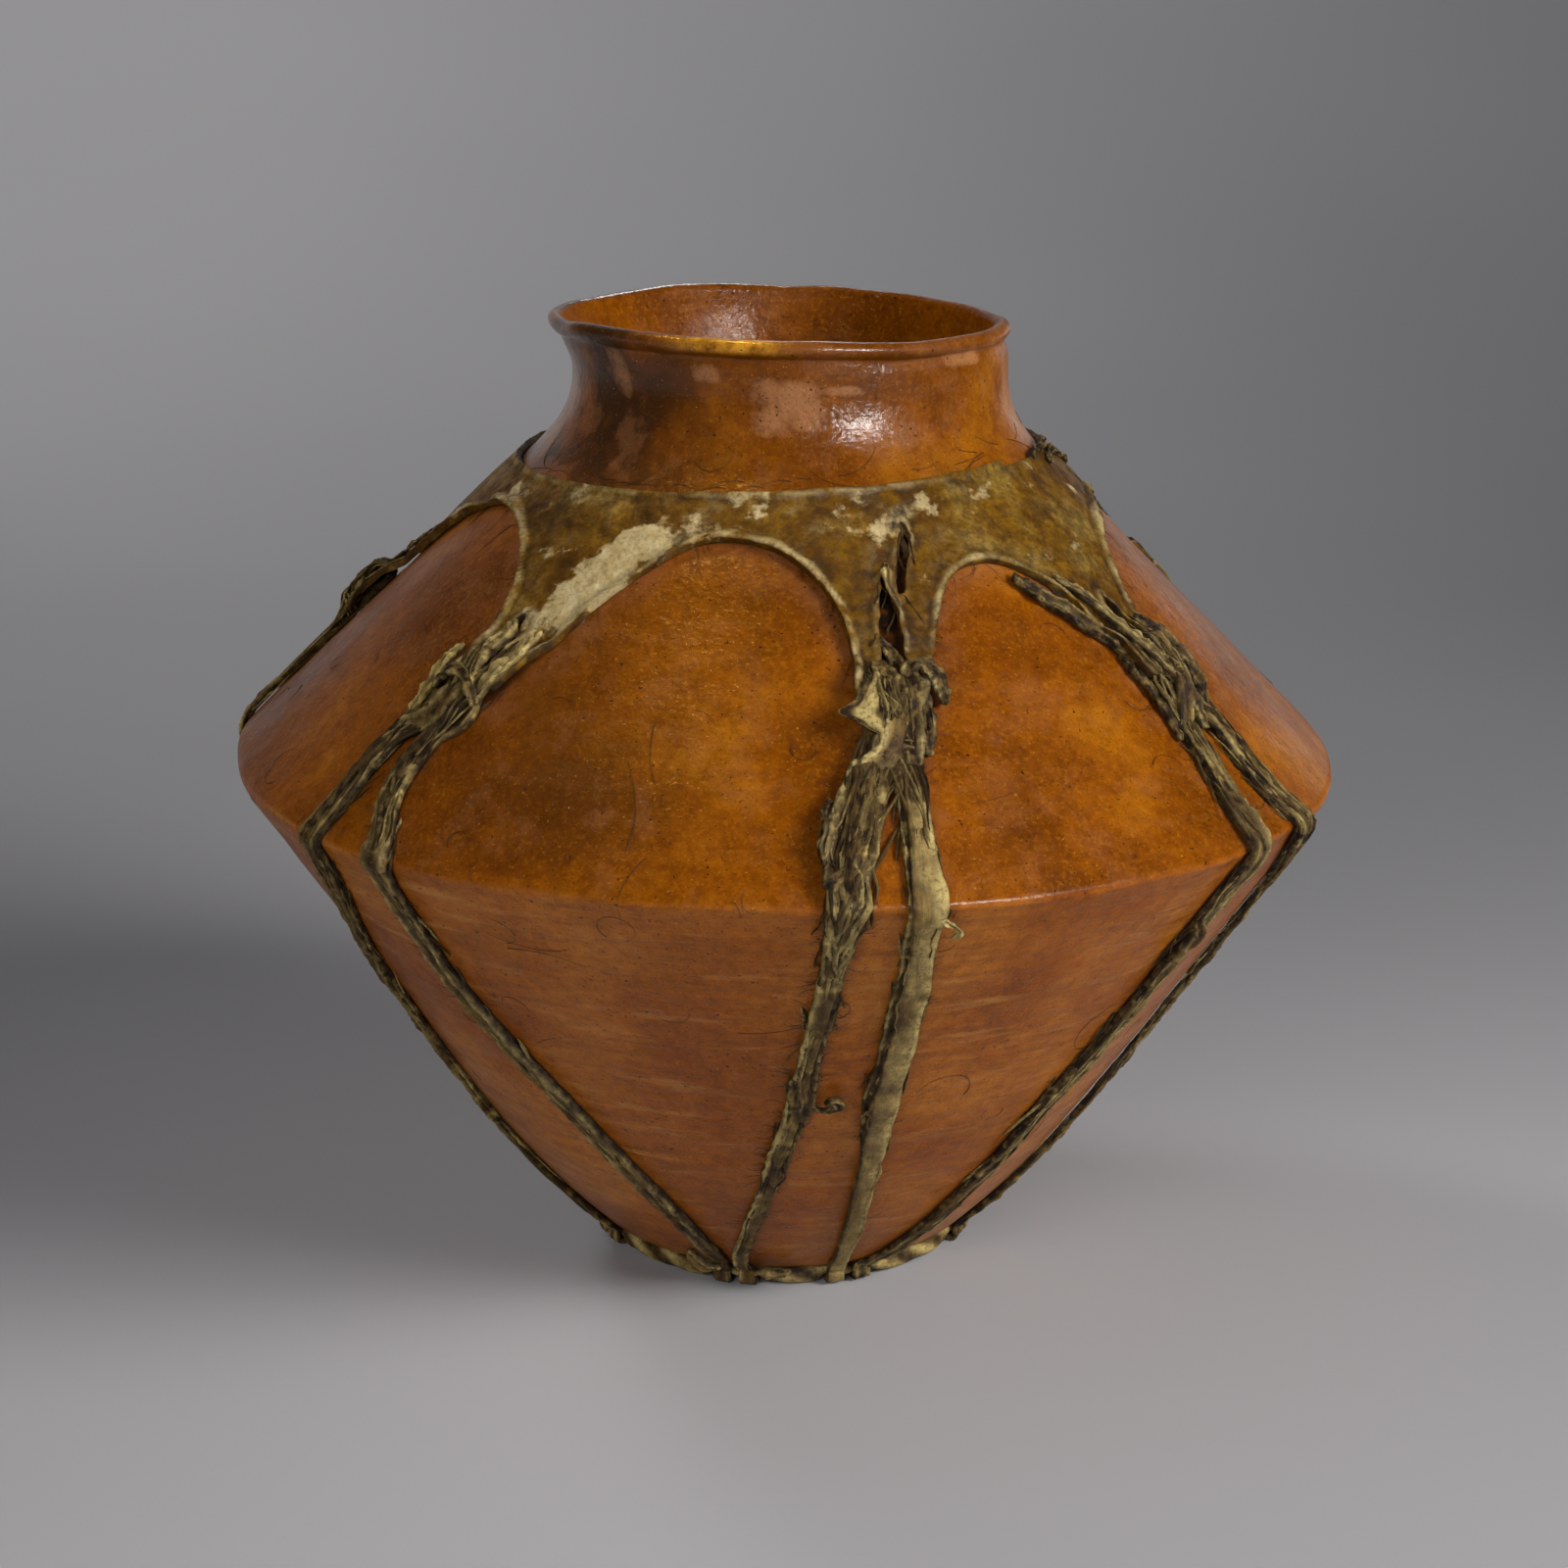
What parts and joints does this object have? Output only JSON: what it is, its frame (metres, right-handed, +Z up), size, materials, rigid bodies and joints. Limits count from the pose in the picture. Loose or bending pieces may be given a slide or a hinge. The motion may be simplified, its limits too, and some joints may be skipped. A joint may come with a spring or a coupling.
{
  "type": "rawhide-wrapped pot",
  "caption": "Clay pot with a sharp shoulder and a flared neck, held in a dried rawhide collar and thongs laced down to a ring under its base.",
  "frame": {"origin": "centre of the base ring, on the surface the pot stands on", "axes": "+Z up through the mouth; -Y is the side with the long open slit in the collar, which faces the viewer in the picture; +X to the viewer's right"},
  "size_m": [0.251, 0.252, 0.2172],
  "materials": {
    "clay": "gloss",
    "collar_hide": "satin",
    "lace_hide": "matte"
  },
  "bodies": {
    "root": {"clay_pot": "clay", "rawhide_collar": "collar_hide", "base_ring": "lace_hide", "lace_far_left": "lace_hide", "lace_left": "lace_hide", "lace_front": "lace_hide", "lace_right": "lace_hide", "lace_right_back": "lace_hide", "lace_back": "lace_hide", "lace_left_back": "lace_hide", "tucked_lace_end": "lace_hide", "spliced_lace_end": "lace_hide"}
  },
  "joints": []
}
